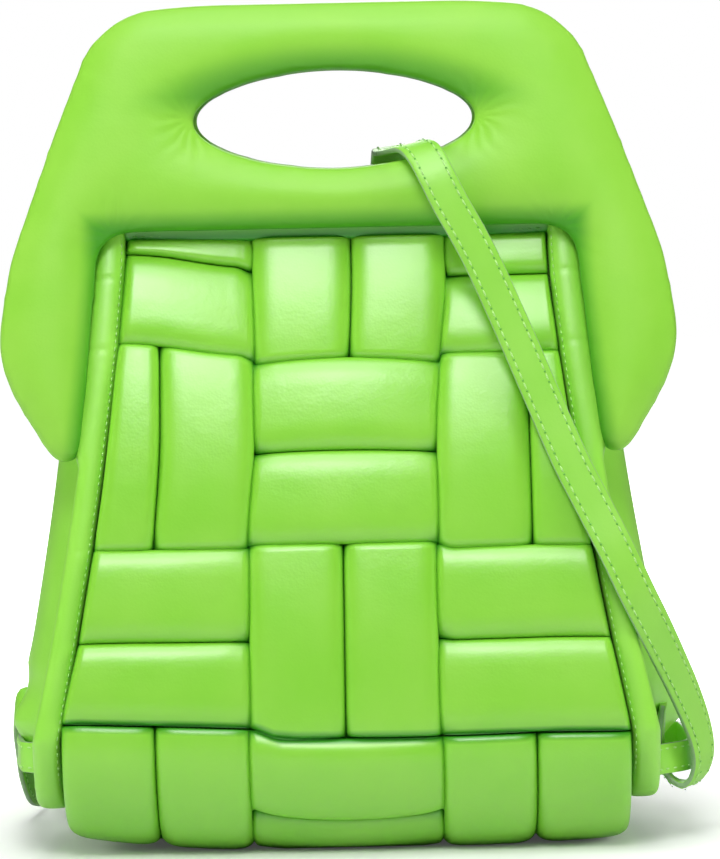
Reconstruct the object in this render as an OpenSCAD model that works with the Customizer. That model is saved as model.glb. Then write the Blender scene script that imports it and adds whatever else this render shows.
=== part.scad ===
// Padded handbag: a basket-woven body between two padded handle panels, leather sides and a shoulder strap.
// Millimetres, +Z up, the front faces -Y, and the origin is under the middle of the base.

/* [Body] */
// Half width of the weave along the base
base_half_w = 100; // [99:0.5:101]
// Half width of the weave at its top edge
top_half_w = 75; // [73:0.5:77]
// Half depth of the flat floor
floor_half_d = 25; // [24:0.5:26]
// Radius of the rounded lower edges, at the middle of the weave
edge_r = 36; // [35:0.5:37]
// Lean of the two walls towards each other, in degrees
lean = 11; // [10:0.25:11.25]

/* [Weave] */
// Spacing of the padded strips
pitch = 33.4; // [33.2:0.1:33.6]
// Thickness of one padded strip
strip_t = 6; // [5:0.25:6.5]
// Width of the tapered margin along a strip
strip_edge = 4; // [3.5:0.25:4.5]
// Way along the weave from the middle of the base to the line where the walls tilt
fold_s = 82.4; // [82:0.1:83]
// Way along the weave from the middle of the base to its top edge
weave_top = 257.5; // [255:0.5:259]

/* [Handle] */
// Thickness of a handle panel
handle_t = 20; // [18:0.5:20]
// Depth of its rolled edge on each face
handle_roll = 9; // [7:0.5:9]
// Way in from the outline over which the edge rolls
handle_edge = 6; // [5.5:0.25:6.5]
// Way along the wall from the middle of the base to the top of the handle
handle_top = 345.5; // [343:0.5:346]
// Half width of the hand hole
hole_half_w = 50.8; // [50:0.2:51.4]
// Half height of the hand hole
hole_half_h = 17.5; // [17:0.25:18]
// Way along the wall from the middle of the base to the middle of the hand hole
hole_s = 302.8; // [302:0.2:303.4]

/* [Sides] */
// Width of the rolled border beside the weave
border_w = 8.4; // [8:0.1:8.6]
// Thickness of the gusset leather
gusset_t = 1.8; // [1.4:0.1:2]
// How far a gusset swells out between the borders
gusset_swell = 14.5; // [13:0.5:15]
// Height of a keeper band
keeper_h = 11; // [10:0.5:11]
// Height of the middle of a keeper band above the ground
keeper_z = 35; // [34.5:0.25:35.5]
// Room behind a keeper for the strap
keeper_room = 5.8; // [5.7:0.1:6]

/* [Strap] */
// Width of the strap
strap_w = 13; // [12:0.5:13]
// Thickness of the strap, two layers sewn together
strap_t = 2.4; // [2:0.1:2.5]

/* [Hidden] */

leather = "#93dc4c";
leather_shade = "#84cf3f";
leather_side = "#a4e163";
strap_leather = "#98dd55";
lining_cloth = "#7fae5c";
board_grey = "#8f9488";

// Clearances: between neighbouring strips, between crossing strips, and between sewn pieces
weave_gap = 0.8;
cross_gap = 0.4;
sewn_gap = 0.4;
fold_gap = 0.4;

// The weave: half its crossing depth, the lift of a strip and the way over which a strip dives
lift = (strip_t + cross_gap) / 2;
half_stack = strip_t + cross_gap / 2;
dive = strip_edge + weave_gap / 2;
row_edges = [for (k = [-1:2]) fold_s + 2 * pitch * k];

// The side profile: flat floor, rounded edge, leaning wall
arc_deg = 90 + lean;
arc_len = edge_r * arc_deg * PI / 180;
wall_s = floor_half_d + arc_len;

// Sheets and edges, as depths behind the middle of the weave
lining_depth = half_stack + 1.5 * sewn_gap;
lining_t = 1.4;
wall_lining_inset = 1;
base_lining_inset = 3;
base_lining_short = 8;
board_t = 3;
board_side_inset = 6;
board_end_inset = 1;
base_lining_depth = half_stack + board_t + 2 * sewn_gap;
gusset_depth = handle_t / 2 + 2 * sewn_gap;
border_front = 4.6;
border_back = 7;
border_foot = -6.5;
binding_h = 4.2;
binding_front = 1.5;
binding_back = 6;
notch_s = weave_top + binding_h + 3 * sewn_gap;

function clamp(v) = max(-1, min(1, v));
function product(list, i = 0) = i == len(list) ? 1 : list[i] * product(list, i + 1);
function reversed(list) = [for (i = [len(list) - 1:-1:0]) list[i]];
function unit(v) = v / norm(v);

// Point [y, z] of the front profile: s along the weave from the middle of the base, n outwards
function front_yz(s, n) =
    s <= floor_half_d
    ? [-s, half_stack - n]
    : let (turn = min(s - floor_half_d, arc_len) / edge_r * 180 / PI, up = max(0, s - wall_s))
      [-floor_half_d - (edge_r + n) * sin(turn) + up * sin(lean),
       half_stack + edge_r - (edge_r + n) * cos(turn) + up * cos(lean)];

// Point on the bag: s is positive on the front and negative on the rear
function on_bag(x, s, n) = let (p = front_yz(abs(s), n)) [x, s >= 0 ? p[0] : -p[0], p[1]];

// Half width of the weave at s: straight along the base, then narrowing to the top
function half_w(s) =
    let (rise = max(0, weave_top - abs(s)) / (weave_top - fold_s))
    abs(s) <= fold_s ? base_half_w : top_half_w + (base_half_w - top_half_w) * pow(rise, 1.4);

// Where strips lie: over is positive. Warps run up and down, wefts from side to side
function warp_lift(middle, s) =
    (middle ? lift : -lift) * product([for (edge = row_edges) clamp((edge - abs(s)) / dive)]);
function weft_lift(outer_over, x) = (outer_over ? lift : -lift) * clamp((abs(x) - pitch) / dive);

// Closed solid through rings with equal numbers of points
module loft(rings) {
    m = len(rings[0]);
    last = len(rings) - 1;
    sides = [for (i = [0:last - 1], j = [0:m - 1]) each [
        [i * m + j, (i + 1) * m + j, i * m + (j + 1) % m],
        [i * m + (j + 1) % m, (i + 1) * m + j, (i + 1) * m + (j + 1) % m]]];
    ends = [for (j = [1:m - 2]) each [[0, j, j + 1], [last * m, last * m + j + 1, last * m + j]]];
    polyhedron([for (ring = rings) each ring], concat(sides, ends), convexity = 8);
}

// Tapered margin of a strip of the given width; a narrow strip keeps a flat top
function margin(width) = min(strip_edge, 0.4 * width);

// Ring across a warp at s, from x0 to x1
function warp_ring(x0, x1, s, c) =
    let (t = strip_t / 2, e = margin(x1 - x0))
    [for (p = [[x0, 0], [x0 + e, t], [x1 - e, t], [x1, 0], [x1 - e, -t], [x0 + e, -t]])
        on_bag(p[0], s, c + p[1])];

// One warp, counted from the left, along the given stations
module warp(i, stations) {
    middle = i == 3 || i == 4;
    inner_x = (i - 4) * pitch + weave_gap / 2;
    outer_x = (i - 3) * pitch - weave_gap / 2;
    loft([for (s = stations)
        let (edge = half_w(s) - weave_gap / 2)
        warp_ring(max(inner_x, -edge), min(outer_x, edge), s, warp_lift(middle, s))]);
}

// One weft between s0 and s1, with enough points across to follow the curve of the base
module weft(s0, s1, outer_over, spans = 1) {
    a = s0 + weave_gap / 2;
    b = s1 - weave_gap / 2;
    e = margin(b - a);
    across = [for (k = [0:spans]) a + e + (b - a - 2 * e) * k / spans];
    section = concat([[a, 0]], [for (s = across) [s, -1]], [[b, 0]], [for (s = reversed(across)) [s, 1]]);
    stations = concat([-1], [for (x = [-1, 1]) each [x * pitch - dive, x * pitch, x * pitch + dive]], [1]);
    loft([for (k = [0:len(stations) - 1]) [for (p = section)
        let (end_x = half_w(p[0]) - weave_gap / 2,
             x = k == 0 ? -end_x : k == len(stations) - 1 ? end_x : stations[k])
        on_bag(x, p[0], weft_lift(outer_over, x) + p[1] * strip_t / 2)]]);
}

// Stations up the wall and round the base
wall_stations = concat([fold_s + fold_gap, fold_s + dive],
    [for (edge = [row_edges[2], row_edges[3]]) each [edge - dive, edge, edge + dive]], [weave_top]);
edge_steps = 9;
half_base = concat([for (d = [-1:1]) row_edges[0] + d * dive],
    [for (k = [0:edge_steps]) floor_half_d + (fold_s - dive - floor_half_d) * k / edge_steps],
    [fold_s - fold_gap]);
base_stations = concat([for (s = reversed(half_base)) -s], half_base);

module wall_warp(i) color(leather) warp(i, wall_stations);
module base_warp(i) color(leather_shade) warp(i, base_stations);

// Level strips on a wall, counted from the top; the first is cut by the top edge
module wall_weft(i) {
    top = row_edges[3] + (2 - i) * pitch;
    outer_over = i <= 2 || i >= 5;
    color(leather) weft(top + (i == 6 ? fold_gap : 0), min(top + pitch, weave_top), outer_over);
}
module base_weft(s0, s1, outer_over, spans) color(leather_shade) weft(s0, s1, outer_over, spans);

edge_spans = 5;
module base_weft_front_high() base_weft(fold_s - pitch, fold_s - fold_gap, false, edge_spans);
module base_weft_front_low() base_weft(row_edges[0], row_edges[0] + pitch, false, edge_spans);
module base_weft_center() base_weft(-row_edges[0], row_edges[0], true, 1);
module base_weft_rear_low() mirror([0, 1, 0]) base_weft_front_low();
module base_weft_rear_high() mirror([0, 1, 0]) base_weft_front_high();

// Stiff board in the floor
module base_board() {
    z = 2 * half_stack + sewn_gap;
    side = base_half_w - board_side_inset;
    depth = floor_half_d - board_end_inset;
    color(board_grey) translate([-side, -depth, z]) cube([2 * side, 2 * depth, board_t]);
}

// Lining sheet between two distances along the profile
module lining(stations, depth, inset)
    color(lining_cloth) loft([for (s = stations)
        let (x = half_w(s) - inset)
        [for (p = [[-x, 1], [-x, 0], [x, 0], [x, 1]]) on_bag(p[0], s, -depth - lining_t * p[1])]]);

module base_lining() {
    reach = fold_s - base_lining_short;
    half = concat([floor_half_d / 2], [for (k = [0:8]) floor_half_d + (reach - floor_half_d) * k / 8]);
    lining(concat([for (s = reversed(half)) -s], half), base_lining_depth, base_lining_inset);
}
module wall_lining() lining(
    concat([fold_s + fold_gap], [for (k = [0:4]) wall_s + (weave_top - wall_s) * k / 4]),
    lining_depth, wall_lining_inset);

// Rolled border: an eight-sided section from the weave's edge outwards, drawn in round the top corner
corner_r = 11;
function corner_in(s) =
    let (past = max(0, abs(s) - notch_s + corner_r))
    corner_r - sqrt(max(0, corner_r * corner_r - past * past));
function border_ring(s, front, back, w, cut) =
    let (x0 = half_w(s) + sewn_gap / 2, x1 = x0 + w - corner_in(s))
    [for (p = [[x0, front - cut], [x0 + cut, front], [x1 - cut, front], [x1, front - cut],
               [x1, cut - back], [x1 - cut, -back], [x0 + cut, -back], [x0, cut - back]])
        on_bag(p[0], s, p[1])];

module wall_border(side) {
    straight = [for (k = [0:6]) wall_s + (notch_s - corner_r - wall_s) * k / 6];
    corner = [for (t = [0.4, 0.65, 0.85]) notch_s - corner_r + corner_r * t];
    mirror([side < 0 ? 1 : 0, 0, 0]) color(leather_side)
        loft([for (s = concat([fold_s + fold_gap], straight, corner))
            border_ring(s, border_front, border_back, border_w, cut = 2)]);
}

// The border goes on round the foot of the side, and draws in from the weave towards the floor
module base_border(side) {
    steps = 9;
    half = [for (k = [0:steps]) floor_half_d + (fold_s - fold_gap - floor_half_d) * k / steps];
    function rise(s) = (abs(s) - floor_half_d) / (fold_s - floor_half_d);
    function front(s) = border_foot + (border_front - border_foot) * pow(rise(s), 2);
    mirror([side < 0 ? 1 : 0, 0, 0]) color(leather_side)
        loft([for (s = concat([for (s = reversed(half)) -s], half))
            border_ring(s, front(s), gusset_depth - sewn_gap, border_w, cut = 1.6)]);
}

// Gusset: rows follow the inner edge of the borders, and each row swells out between them
gusset_inset = 5;
gusset_foot = 6;
gusset_top_s = 238;
swell_start = 84;
swell_full = 108;
function swell(s) =
    let (grown = max(0, min(1, (s - swell_start) / (swell_full - swell_start))))
    gusset_foot + (gusset_swell - gusset_foot) * grown;
function gusset_x(s, k) = half_w(s) + gusset_inset + swell(s) * (1 - pow(abs(k), 2.5));

module gusset(side) {
    rows = concat([for (k = [0:5]) floor_half_d + (wall_s - floor_half_d) * k / 5],
                  [for (k = [1:6]) wall_s + (gusset_top_s - wall_s) * k / 6]);
    steps = 6;
    across = [for (k = [-steps:steps]) k / steps];
    mirror([side < 0 ? 1 : 0, 0, 0]) color(leather_side) loft([for (s = rows)
        let (p = front_yz(s, -gusset_depth))
        concat([for (k = across) [gusset_x(s, k), -p[0] * k, p[1]]],
               [for (k = reversed(across)) [gusset_x(s, k) - gusset_t, -p[0] * k, p[1]]])]);
}

// Keeper: a band across the foot of the gusset that stands off in the middle, so the strap goes behind it
keeper_t = 2.4;
keeper_half_l = 44;
keeper_ramp = 8;
module keeper(side) {
    keeper_turn = acos((half_stack + edge_r - keeper_z) / (edge_r - gusset_depth));
    keeper_s = floor_half_d + edge_r * keeper_turn * PI / 180;
    half_d = -front_yz(keeper_s, -gusset_depth)[0];
    stations = [for (y = [-1, -0.9, -0.8, -0.6, -0.3, 0, 0.3, 0.6, 0.8, 0.9, 1]) y * keeper_half_l];
    low = keeper_z - keeper_h / 2;
    high = keeper_z + keeper_h / 2;
    mirror([side < 0 ? 1 : 0, 0, 0]) color(leather_side) loft([for (y = stations)
        let (room = sewn_gap + (keeper_room - sewn_gap) * min(1, (keeper_half_l - abs(y)) / keeper_ramp),
             x = gusset_x(keeper_s, y / half_d) + room)
        [[x, y, low], [x, y, high], [x + keeper_t, y, high], [x + keeper_t, y, low]]]);
}

// Places its children, drawn as [x, s, n], on the flat of the front wall
module on_front_wall() {
    foot = front_yz(wall_s, 0);
    translate([0, foot[0], foot[1]]) rotate([90 - lean, 0, 0]) translate([0, -wall_s, 0]) children();
}

// Outline corners as [x, s, radius], rounded by arcs
function arc_corner(a, p, b, r, steps = 4) =
    let (u = unit(a - p), v = unit(b - p), half = acos(u * v) / 2,
         middle = p + unit(u + v) * r / sin(half),
         from = p + u * r / tan(half) - middle, to = p + v * r / tan(half) - middle,
         sweep = 180 - 2 * half, sense = u[0] * v[1] - u[1] * v[0] > 0 ? -1 : 1)
    [for (k = [0:steps])
        let (t = sense * sweep * k / steps)
        middle + [from[0] * cos(t) - from[1] * sin(t), from[0] * sin(t) + from[1] * cos(t)]];
function rounded(corners) =
    let (m = len(corners))
    [for (i = [0:m - 1])
        let (a = corners[(i + m - 1) % m], p = corners[i], b = corners[(i + 1) % m])
        each arc_corner([a[0], a[1]], [p[0], p[1]], [b[0], b[1]], p[2])];

// Half outline of the handle panel, from the top round the lobe to the notch that holds the weave
handle_half = [
    [84, handle_top, 26],
    [116.5, 254, 60],
    [122.5, 216, 40],
    [100.5, 179, 8],
    [half_w(186) + border_w + 1, 181.5, 2.5],
    [half_w(notch_s) + border_w + 1, notch_s, corner_r]];
handle_corners = concat(handle_half, [for (c = reversed(handle_half)) [-c[0], c[1], c[2]]]);

// Padded panel with rolled edges
module handle_panel() {
    core = handle_t - 2 * handle_roll;
    on_front_wall() minkowski() {
        translate([0, 0, -core / 2]) linear_extrude(core) difference() {
            offset(delta = -handle_edge) polygon(rounded(handle_corners));
            translate([0, hole_s]) scale([hole_half_w + handle_edge, hole_half_h + handle_edge])
                circle(1, $fn = 32);
        }
        scale([handle_edge / handle_roll, handle_edge / handle_roll, 1]) sphere(handle_roll, $fn = 10);
    }
}
module wall_handle() color(leather) handle_panel();

// Flat strip along the top edge of the weave
module wall_binding() color(leather_side) on_front_wall()
    translate([-top_half_w, weave_top + sewn_gap, -binding_back])
        cube([2 * top_half_w, binding_h, binding_back + binding_front]);

// Strap: a flat belt swept along points, each with the way its face looks
function strap_ring(i) =
    let (p = route[i][0], before = route[max(0, i - 1)][0], after = route[min(len(route) - 1, i + 1)][0],
         along = unit(after - before), across = unit(cross(along, route[i][1])),
         face = cross(across, along),
         a = strap_w / 2, b = strap_t / 2, cut = strap_t / 4)
    [for (q = [[-a, b - cut], [cut - a, b], [a - cut, b], [a, b - cut],
               [a, cut - b], [a - cut, -b], [cut - a, -b], [-a, cut - b]]) p + across * q[0] + face * q[1]];
module strap(first, last) color(strap_leather) loft([for (i = [first:last]) strap_ring(i)]);

// From the loop round the right keeper, up across the front and over the rim of the front hand hole
front_route = [
    [[116, -27, 53], [-1, 0.1, 0]],
    [[113.6, -27, 46], [-1, 0.1, -0.3]],
    [[112.6, -27, 39], [-1, 0.13, 0]],
    [[112.4, -27, 31], [-1, 0.13, 0]],
    [[113.4, -27, 25], [-0.85, 0.05, -0.5]],
    [[116.4, -27.2, 20.6], [-0.5, 0, -0.87]],
    [[120.6, -27.6, 19], [0.05, -0.05, -1]],
    [[124.6, -28.4, 21.2], [0.6, -0.3, -0.72]],
    [[126.8, -29.6, 26], [0.8, -0.5, -0.25]],
    [[127.2, -31, 31.5], [0.78, -0.62, 0]],
    [[125.9, -34, 38.5], [0.72, -0.7, 0.05]],
    [[123.4, -38.5, 46], [0.62, -0.78, 0.05]],
    [[119.6, -45, 55.5], [0.5, -0.86, 0.08]],
    [[114.4, -52.5, 67], [0.38, -0.92, 0.1]],
    [[108.6, -58.5, 79.5], [0.25, -0.96, 0.12]],
    [[102.6, -61.5, 92], [0.15, -0.97, 0.15]],
    [[96.3, -60.6, 106], [0.08, -0.98, 0.17]],
    [[88.7, -56.8, 121.6], [0.03, -0.98, 0.19]],
    [[80.7, -53.2, 138], [0, -0.98, 0.19]],
    [[72, -48.9, 159], [0, -0.98, 0.19]],
    [[61.7, -44.3, 184.3], [0, -0.98, 0.19]],
    [[51.5, -41.2, 208], [0, -0.98, 0.19]],
    [[46.5, -40.4, 218], [0, -0.98, 0.19]],
    [[40.5, -39.6, 229], [0, -0.98, 0.19]],
    [[35.7, -37.9, 239], [-0.1, -0.87, 0.46]],
    [[32.6, -34.2, 245.2], [-0.15, -0.7, 0.7]],
    [[30.2, -29.4, 248.2], [-0.2, -0.35, 0.92]],
    [[27.6, -22.4, 249.2], [-0.22, 0, 0.97]],
    [[24.2, -12, 248.2], [-0.16, 0, 0.98]]];

// Over the rim of the rear hand hole and down the back to the tilt line
back_route = [
    [[21.5, 0, 247.4], [-0.12, 0, 0.99]],
    [[20.3, 11, 247.5], [-0.12, 0, 0.99]],
    [[20, 20, 248.2], [-0.14, 0, 0.99]],
    [[19.8, 27.6, 247.5], [-0.1, 0.35, 0.92]],
    [[19.5, 33.4, 244.1], [-0.06, 0.7, 0.7]],
    [[19, 37.5, 236.6], [0, 0.87, 0.46]],
    [[18.5, 39.6, 227], [0, 0.98, 0.19]],
    [[18, 40.4, 217], [0, 0.98, 0.19]],
    [[17.5, 41.9, 200], [0, 0.98, 0.19]],
    [[17, 45.7, 178], [0, 0.98, 0.19]],
    [[16.8, 51, 150], [0, 0.98, 0.19]],
    [[17, 56.5, 122], [0, 0.98, 0.19]],
    [[17.8, 61.8, 95], [0, 0.98, 0.19]],
    [[20, 67, 68], [0, 0.99, 0.12]]];

// On its edge along the ground behind the bag, and up to the loop round the left keeper
slack_route = [
    [[24, 71.5, 46], [0, 1, 0.05]],
    [[32, 74, 32], [0, 1, 0]],
    [[45, 76, 20], [0, 1, 0]],
    [[60, 77.5, 11.5], [0, 1, 0]],
    [[76, 78, 7.6], [0, 1, 0]],
    [[87, 80, 7], [-0.3, 1, 0]],
    [[95.5, 87, 7], [-0.85, 0.6, 0]],
    [[97, 96, 7], [-1, -0.1, 0]],
    [[92, 105, 7], [-0.6, -0.8, 0]],
    [[82, 110, 7], [-0.3, -1, 0]],
    [[60, 112, 7], [0, -1, 0]],
    [[20, 113, 7], [0, -1, 0]],
    [[-30, 113, 7], [0, -1, 0]],
    [[-74, 111.5, 7], [0.1, -1, 0]],
    [[-95, 106, 7], [0.4, -0.9, 0]],
    [[-108, 95, 7.2], [0.75, -0.65, 0]],
    [[-115, 80, 8], [0.95, -0.3, 0]],
    [[-117.5, 62, 10], [1, -0.1, 0]],
    [[-119, 46, 14], [1, -0.1, 0]],
    [[-120.2, 33, 23], [1, -0.15, 0]],
    [[-120.6, 22.5, 33], [1, -0.1, 0]],
    [[-120.8, 13.3, 42.3], [1, -0.05, 0]],
    [[-119.6, 7.8, 47.8], [0.9, 0.3, -0.3]],
    [[-117, 5.8, 49.8], [0, 0.7, -0.7]],
    [[-114.6, 7.8, 47.8], [-0.9, 0.3, -0.3]],
    [[-113.8, 13.3, 42.3], [-1, 0.05, 0]],
    [[-113, 22.5, 33], [-1, 0.1, 0]],
    [[-112, 30, 26], [-1, 0.15, 0]],
    [[-115.4, 39, 18], [-1, 0.1, 0]]];

route = concat(front_route, back_route, slack_route);
front_end = len(front_route);
back_end = front_end + len(back_route);
module strap_front() strap(0, front_end);
module strap_back() strap(front_end, back_end);
module strap_slack() strap(back_end, len(route) - 1);

module rear() mirror([0, 1, 0]) children();

base_board();
base_lining();
base_weft_front_high();
base_weft_front_low();
base_weft_center();
base_weft_rear_low();
base_weft_rear_high();
base_border(-1);  // left_base_border
base_border(1);  // right_base_border
gusset(-1);  // left_gusset
gusset(1);  // right_gusset
keeper(-1);  // left_keeper
keeper(1);  // right_keeper
strap_front();
strap_back();
strap_slack();
wall_handle();  // front_handle
wall_lining();  // front_lining
wall_binding();  // front_top_binding
wall_border(-1);  // front_left_border
wall_border(1);  // front_right_border
rear() wall_handle();  // rear_handle
rear() wall_lining();  // rear_lining
rear() wall_binding();  // rear_top_binding
rear() wall_border(-1);  // rear_left_border
rear() wall_border(1);  // rear_right_border
for (i = [1:6]) {
    base_warp(i);
    wall_warp(i);
    wall_weft(i);
    rear() wall_warp(i);
    rear() wall_weft(i);
}
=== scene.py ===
# %% [markdown]
# # A padded, woven handbag
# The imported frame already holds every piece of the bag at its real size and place. This lesson gives the
# pieces their looks: the frame is loaded first and never moved, and each new piece is built where it says.

# %% Load the frame
import math

import bmesh
import bpy
from mathutils import Matrix, Vector, geometry, noise
from mathutils.kdtree import KDTree


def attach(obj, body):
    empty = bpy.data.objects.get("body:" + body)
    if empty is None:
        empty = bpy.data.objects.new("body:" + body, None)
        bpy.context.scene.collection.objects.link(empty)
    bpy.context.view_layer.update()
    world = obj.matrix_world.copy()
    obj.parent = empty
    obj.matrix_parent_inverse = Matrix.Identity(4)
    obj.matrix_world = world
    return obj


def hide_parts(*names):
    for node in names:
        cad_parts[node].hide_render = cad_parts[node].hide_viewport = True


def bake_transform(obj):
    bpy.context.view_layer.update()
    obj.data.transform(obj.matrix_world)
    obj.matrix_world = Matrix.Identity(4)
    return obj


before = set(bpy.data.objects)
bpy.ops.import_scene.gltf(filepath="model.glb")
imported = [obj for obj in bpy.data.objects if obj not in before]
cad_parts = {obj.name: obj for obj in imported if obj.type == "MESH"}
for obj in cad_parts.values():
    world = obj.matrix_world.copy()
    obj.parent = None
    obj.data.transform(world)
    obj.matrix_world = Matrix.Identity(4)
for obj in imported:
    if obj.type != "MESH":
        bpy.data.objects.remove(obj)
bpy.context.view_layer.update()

# %% [markdown]
# ## The shape that everything follows
# The bag is one long woven mat: it starts at the top of the front, runs down under the floor and up the
# back. So a place on the bag is easiest to give as x from side to side, s along the mat from the middle of
# the floor, and n outwards from the middle of the weave, all in millimetres. One function turns these into
# a point in metres, and every soft piece below is bent into shape by it.

# %% Measures of the mat
MM = 0.001
BASE_HALF_W, TOP_HALF_W = 100, 75  # half width of the weave at its foot and at its top
NARROWING = 1.4  # 1 narrows evenly, more narrows first near the foot
FLOOR_HALF_D = 25  # half depth of the flat floor
EDGE_R = 36  # radius of the rounded lower edges
LEAN = math.radians(11)  # the walls lean in
PITCH = 33.4  # from one strip to the next
HALF_STACK = 6.2  # half the thickness of the mat
FOLD_S, WEAVE_TOP = 82.4, 257.5  # where a wall folds off the base, and where the weave ends
ARC_LEN = EDGE_R * (math.pi / 2 + LEAN)
WALL_S = FLOOR_HALF_D + ARC_LEN
ROW_EDGES = [FOLD_S + 2 * PITCH * k for k in (-1, 0, 1, 2)]


def on_bag(x, s, n):
    """Point of the bag in metres; s is positive on the front and negative on the rear."""
    along = abs(s)
    turn = max(0, min(along - FLOOR_HALF_D, ARC_LEN)) / EDGE_R
    up = max(0, along - WALL_S)
    y = -min(along, FLOOR_HALF_D) - (EDGE_R + n) * math.sin(turn) + up * math.sin(LEAN)
    z = HALF_STACK + EDGE_R - (EDGE_R + n) * math.cos(turn) + up * math.cos(LEAN)
    return Vector((x, y if s >= 0 else -y, z)) * MM


def half_w(s):
    """Half width of the weave: straight along the base, then narrowing to the top."""
    rise = max(0, WEAVE_TOP - abs(s)) / (WEAVE_TOP - FOLD_S)
    if abs(s) <= FOLD_S:
        return BASE_HALF_W
    return TOP_HALF_W + (BASE_HALF_W - TOP_HALF_W) * rise ** NARROWING


print("mat: wall starts at", round(WALL_S, 1), "mm; rows change at", [round(e, 1) for e in ROW_EDGES])

# %% [markdown]
# ## Camera
# A product photograph is taken from far away with a long lens, so the bag shows little perspective. The
# camera stands in front, a little above the middle, looks slightly down and is rolled by about a degree.
# The focal length is worked out in pixels of the picture, and a sensor of 36 mm covers the longer side.

# %% Camera
IMAGE_H = 859  # longer side of the picture, in pixels
FOCAL_PX = 4837
camera_data = bpy.data.cameras.new("camera")
camera_data.sensor_width = 36
camera_data.lens = FOCAL_PX / IMAGE_H * camera_data.sensor_width
camera = bpy.data.objects.new("camera", camera_data)
bpy.context.scene.collection.objects.link(camera)
camera_place = Vector((0.007, -1.75, 0.255))
camera_aim = Vector((0.007, 0, 0.147))
roll = Matrix.Rotation(math.radians(-1.2), 3, "Z")
look = (camera_aim - camera_place).to_track_quat("-Z", "Y").to_matrix()
camera.matrix_world = Matrix.Translation(camera_place) @ (look @ roll).to_4x4()
bpy.context.scene.camera = camera
print("lens", round(camera_data.lens, 1), "mm")

# %% [markdown]
# ## Leather and thread
# The whole bag is one soft calf leather, dyed lime green and sewn over foam. Up close it has a fine, even
# pebble grain, faint lines where it is stretched, and a satin gloss that turns pale under a large lamp. The
# grain is a cell pattern of about a millimetre, slightly coarser than the real one so that it shows. Colour
# drifts a little over a few centimetres, as dyed hide does. In tight folds and under rolls the leather is in
# shade, and light bounced from leather to leather turns that shade a deep green. A render with few bounces
# misses that, so each padded piece carries a number called depth, and a painted deep-green shade follows it.
# The strips are glossier than the handles and the strap.

# %% Colours and a helper for shader nodes


def linear(code):
    """sRGB hex code as linear RGBA."""
    parts = [int(code[i:i + 2], 16) / 255 for i in (1, 3, 5)]
    return [v / 12.92 if v <= 0.04045 else ((v + 0.055) / 1.055) ** 2.4 for v in parts] + [1]


def add(tree, kind, links=(), **settings):
    """Adds one node; a setting is a property or a socket's value, and links are (socket, source)."""
    made = tree.nodes.new(kind)
    for key, value in settings.items():
        if hasattr(made, key):
            setattr(made, key, value)
        else:
            made.inputs[key.replace("_", " ")].default_value = value
    for socket, source in links:
        tree.links.new(source, made.inputs[socket])
    return made


def start_material(name):
    """New material with its node tree, shader and object coordinates."""
    made = bpy.data.materials.new(name)
    made.use_nodes = True
    tree = made.node_tree
    where = add(tree, "ShaderNodeTexCoord").outputs["Object"]
    return made, tree, tree.nodes["Principled BSDF"], where


# %% Leather


def per_metre(size_mm):
    """Texture scale at which one feature is this many millimetres wide."""
    return 1 / (size_mm * MM)


def rib_scale(size_mm):
    """Scale of the diagonal wave texture, which counts ten radians to the unit."""
    return per_metre(size_mm) * 2 * math.pi / 10


# deep green of the painted shade in folds and under rolls
PAINTED_SHADE_GREEN = "#2f9412"
DRIFT_MM = 28  # size of the slow patches of colour and gloss
GLOSS_SPREAD = 0.05
UNEVEN_MM, UNEVEN_DEPTH = 9, 0.4  # low hills of the foam under the skin


def dyed_leather(name, deep, pale, roughness=0.4, shine=0.8, grain_mm=0.9, grain_depth=0.045):
    """Satin calf leather: pebble grain, slow drift of colour, and a painted deep-green shade where depth is
    high.
    """
    made, tree, shader, where = start_material(name)
    drift = add(tree, "ShaderNodeTexNoise", [("Vector", where)], Scale=per_metre(DRIFT_MM), Detail=3)
    ramp = add(tree, "ShaderNodeValToRGB", [("Fac", drift.outputs["Fac"])])
    for stop, position, colour in zip(ramp.color_ramp.elements, (0.32, 0.68), (deep, pale)):
        stop.position, stop.color = position, linear(colour)
    # painted shade: the colour is mixed towards deep green as the depth attribute rises
    painted_shade_amount = add(tree, "ShaderNodeAttribute", attribute_name="depth").outputs["Fac"]
    dye_and_painted_shade = add(tree, "ShaderNodeMix", [("Factor", painted_shade_amount)], data_type="RGBA")
    tree.links.new(ramp.outputs["Color"], dye_and_painted_shade.inputs["A"])
    dye_and_painted_shade.inputs["B"].default_value = linear(PAINTED_SHADE_GREEN)
    tree.links.new(dye_and_painted_shade.outputs["Result"], shader.inputs["Base Color"])
    gloss = add(tree, "ShaderNodeMapRange", [("Value", drift.outputs["Fac"])],
                To_Min=roughness - GLOSS_SPREAD, To_Max=roughness + GLOSS_SPREAD)
    tree.links.new(gloss.outputs["Result"], shader.inputs["Roughness"])
    shader.inputs["Specular IOR Level"].default_value = shine
    pebble = add(tree, "ShaderNodeTexVoronoi", [("Vector", where)], feature="SMOOTH_F1",
                 Scale=per_metre(grain_mm), Smoothness=0.6)
    fine = add(tree, "ShaderNodeBump", [("Height", pebble.outputs["Distance"])],
               Strength=0.5, Distance=grain_depth * MM)
    uneven = add(tree, "ShaderNodeTexNoise", [("Vector", where)], Scale=per_metre(UNEVEN_MM), Detail=2)
    soft = add(tree, "ShaderNodeBump",
               [("Height", uneven.outputs["Fac"]), ("Normal", fine.outputs["Normal"])],
               Strength=0.35, Distance=UNEVEN_DEPTH * MM)
    tree.links.new(soft.outputs["Normal"], shader.inputs["Normal"])
    return made


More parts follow.
